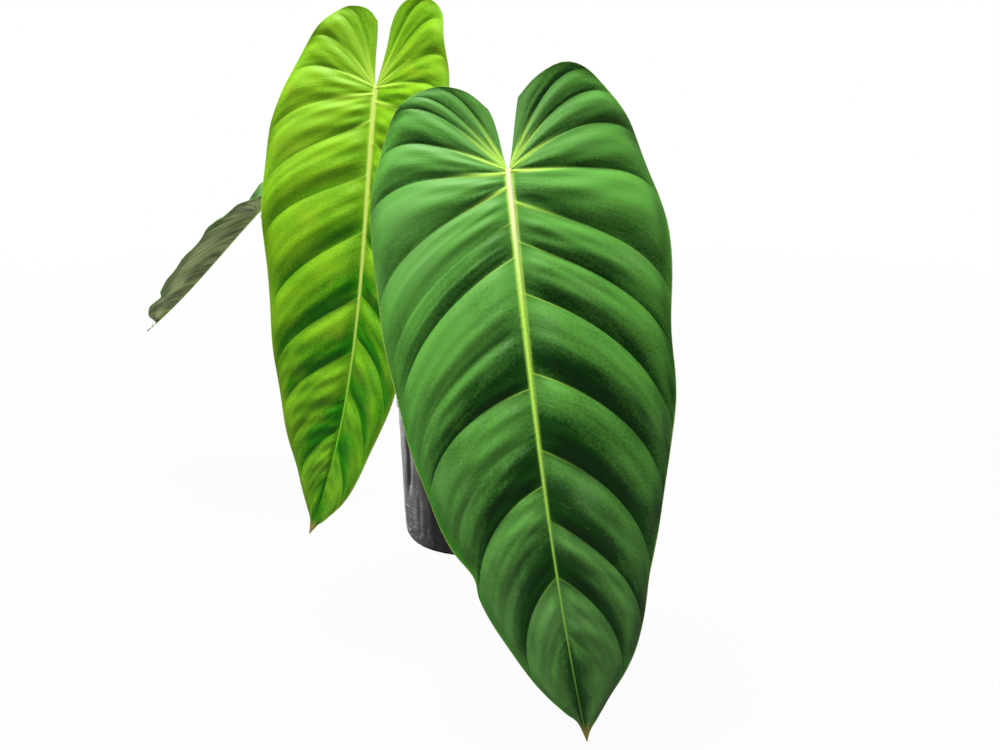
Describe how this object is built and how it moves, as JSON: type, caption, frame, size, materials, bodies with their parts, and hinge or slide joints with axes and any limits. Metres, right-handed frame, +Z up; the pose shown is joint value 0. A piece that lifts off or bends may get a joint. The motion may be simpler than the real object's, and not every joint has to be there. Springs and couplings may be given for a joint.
{
  "type": "potted philodendron esmeraldense",
  "caption": "Young philodendron with large quilted heart-shaped leaves on arching petioles, growing from a short ringed stem in a soft black nursery bag of potting mix.",
  "frame": {"origin": "centre of the bag's flat base, on the surface that it stands on", "axes": "+Z up; the largest leaf hangs towards -Y, the second towards -X and -Y, the third to the back left"},
  "size_m": [0.4294, 0.481, 0.4254],
  "materials": {
    "bag_plastic": "soft black polyethylene with a satin sheen",
    "potting_mix": "loose dark peat, bark and perlite",
    "stem_skin": "green-brown ringed skin",
    "new_growth": "glossy pale green",
    "dry_sheath": "dry papery tan",
    "petiole_skin": "satin green with pale flecks",
    "leaf_deep_green": "semi-gloss, quilted",
    "leaf_young_green": "semi-gloss, quilted",
    "leaf_olive_green": "satin, quilted"
  },
  "bodies": {
    "root": {"pot": "bag_plastic", "soil": "potting_mix", "stem": "stem_skin", "new_leaf": "new_growth", "dry_sheath": "dry_sheath", "petiole_front": "petiole_skin", "blade_front": "leaf_deep_green", "petiole_left": "petiole_skin", "blade_left": "leaf_young_green", "petiole_back": "petiole_skin", "blade_back": "leaf_olive_green"}
  },
  "joints": []
}
